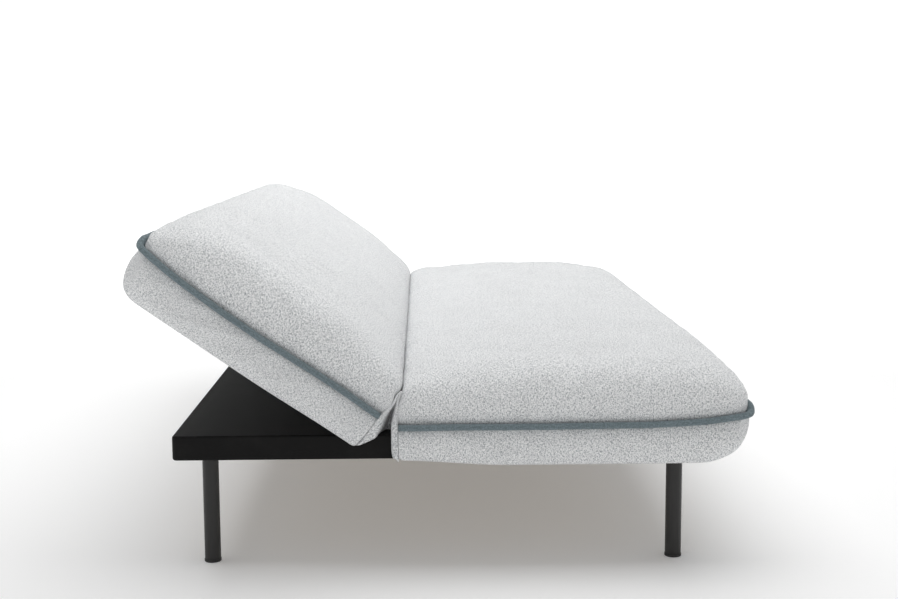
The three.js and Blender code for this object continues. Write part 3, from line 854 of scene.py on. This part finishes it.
def gusset_section(share, gap):
    """The place in the gap, and how much is tucked in, at a share of the way from seam to seam.

    A flap stands along each seam. Between them the web slopes in to a fold behind the seat's flap.
    """
    flap = min(0.32, WEB_FLAP / gap)
    knots = (0, 0.28, 0.36, 0.48, 0.60, 0.70, 1)
    across = (0, flap, flap + 0.02, 0.44, 0.60, 0.70, 1)
    tucked = (0, 0.1, 1.0, 1.0, 0.5, 0.08, 0)
    return float(np.interp(share, knots, across)), float(np.interp(share, knots, tucked))


def sewn_edge(form, w):
    """Where the web is sewn to an end panel: along its inner edge, which rounds away over the crease."""
    u_profile, w_profile = np.array(INNER_PROFILE, float).T * MM
    rounding = np.interp(w, w_profile, u_profile) - u_profile[0]
    return placement(form) @ Vector((0, inner_u(form, SEAM_X, w) + rounding, w))


def web_point(sign, share, down):
    """A point of the web: share of the way from the seat's seam to the back's, and down from its apex."""
    w = lerp(WEB_TOP, SEAT["low"], down)
    from_seat, to_back = sewn_edge(SEAT, w), sewn_edge(BACK, w)
    across, tucked = gusset_section(share, (to_back - from_seat).length)
    tuck = WEB_TUCK * tucked * smooth((down - 0.08) * 2.2)
    crumple = WEB_CRUMPLE * noise.noise(Vector((share * 7, down * 6, 7 + sign)))
    crumple *= math.sin(math.pi * share) * min(1, 2 * down)
    spot = from_seat.lerp(to_back, across)
    spot.x = sign * (SEAM_X - 2 * MM - tuck + crumple)
    return spot


def gusset(side, sign):
    """A folded web of cloth between the end panels' inner seams. It is tucked in between the cushions."""
    shares = np.linspace(0, 1, WEB_COLUMNS + 1)
    length = np.interp(shares, *np.array(WEB_HEM).T)
    points = np.zeros((WEB_ROWS + 1, WEB_COLUMNS + 1, 3))
    for i in range(WEB_ROWS + 1):
        for j, share in enumerate(shares):
            points[i, j] = web_point(sign, share, i / WEB_ROWS * length[j])
    for _ in range(2):  # eases the folds
        points[:, 1:-1] = (points[:, :-2] + 2 * points[:, 1:-1] + points[:, 2:]) / 4
    for column, groove in WEB_GROOVES.items():
        points[:, column, 0] -= sign * groove
    mesh = mesh_of_grids(f"gusset_web_{side}", [(points, sign > 0)], woven_places)
    shade_smooth(mesh)
    thing = link(f"gusset_web_{side}", mesh)
    body = thing.modifiers.new("cloth", "SOLIDIFY")
    body.thickness, body.offset = WEB_THICKNESS, 0
    apply_modifiers(thing)
    cover_with(thing, MELANGE)
    return thing


# ---- pawl springs ----
def leaf_spring(side):
    """The leaf that presses a pawl towards its ratchet, and gives way along y when the pawl lifts. Here it is a
    copy of its CAD node with worn edges, carried rigidly with the base.
    """
    node = frame["nodes"][f"pawl_spring_{side}"]
    thing = link(f"pawl_leaf_{side}", node.data.copy())
    worn = thing.modifiers.new("worn edges", "BEVEL")
    worn.width, worn.segments = 0.12 * MM, 2
    apply_modifiers(thing)
    cover_with(thing, FINISH["zinc_steel"])
    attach(thing, "base")
    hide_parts(f"pawl_spring_{side}")
    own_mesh(thing)


# ---- assembly ----
finish_nodes()
seat_cushion, back_cushion = cushion(SEAT), cushion(BACK)
seat_piping, back_piping = piping(SEAT), piping(BACK)

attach(seat_cushion, "base")
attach(seat_piping, "base")
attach(back_cushion, "back")
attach(back_piping, "back")
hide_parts("seat_cover", "seat_foam")
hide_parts("back_cover", "back_foam")
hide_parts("seat_piping")
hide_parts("back_piping")
for side, sign in (("left", -1), ("right", 1)):
    web = gusset(side, sign)
    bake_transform(web)
    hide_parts(f"gusset_{side}")
    leaf_spring(side)


# ---- stage ----
FLOOR_HALF, FLOOR_THICK = 60, 0.02
# The floor glows more from one distance to another, so that it runs into the white horizon.
FLOOR_GLOW = {"From Min": 1.7, "From Max": 4.5, "To Min": 0.13, "To Max": 0.9}
# The sky dims from the horizon up, by the height of the direction.
SKY_GLOW = {"From Min": 0.1, "From Max": 0.3, "To Min": 1.02, "To Max": 0.36}
LAMP_SIZE, LAMP_POWER, LAMP_PLACE = (5, 4), 117, (0.8, 0, 3.2)
EYE = (-3.35, 0.038, 0.80)
LENS, SENSOR = 54.12, 36  # mm
YAW, PITCH, ROLL = math.radians(-91.18), math.radians(-7.29), math.radians(-0.3)


def studio_floor():
    """A plain pale floor, white in the distance."""
    low, high = (-FLOOR_HALF, -FLOOR_HALF, -FLOOR_THICK), (FLOOR_HALF, FLOOR_HALF, 0)
    floor = link("floor", box_mesh("floor", low, high))
    pale = new_material("floor", Base_Color=grey(0.9), Roughness=0.9, Emission_Color=grey(1.0))
    away = add(pale, "ShaderNodeVectorMath", {0: object_places(pale)}, operation="LENGTH").outputs["Value"]
    glow = add(pale, "ShaderNodeMapRange", {"Value": away, **FLOOR_GLOW}).outputs[0]
    plug(pale, "Emission Strength", glow)
    cover_with(floor, pale)


def sky():
    """A white horizon under a dimmer sky."""
    world = bpy.data.worlds.new("sky")
    world.use_nodes = True
    background = world.node_tree.nodes["Background"]
    background.inputs["Color"].default_value = grey(1.0)
    towards = add(world, "ShaderNodeTexCoord").outputs["Generated"]
    height = add(world, "ShaderNodeSeparateXYZ", {0: towards}).outputs["Z"]
    strength = add(world, "ShaderNodeMapRange", {"Value": height, **SKY_GLOW}).outputs[0]
    world.node_tree.links.new(strength, background.inputs["Strength"])
    bpy.context.scene.world = world


def lamp():
    """A wide soft light over the sofa."""
    panel = bpy.data.lights.new("overhead", "AREA")
    panel.shape, panel.energy = "RECTANGLE", LAMP_POWER
    panel.size, panel.size_y = LAMP_SIZE
    link("overhead", panel).location = LAMP_PLACE


def camera():
    """Off the left end of the sofa, a little above it, looking along it."""
    lens = bpy.data.cameras.new("camera")
    lens.sensor_width, lens.lens = SENSOR, LENS
    view = link("camera", lens)
    level = Matrix.Rotation(YAW, 4, "Z") @ Matrix.Rotation(math.pi / 2 + PITCH, 4, "X")
    view.matrix_world = Matrix.Translation(EYE) @ level @ Matrix.Rotation(ROLL, 4, "Z")
    bpy.context.scene.camera = view


studio_floor()
sky()
lamp()
camera()
bpy.context.scene.view_settings.view_transform = "Standard"
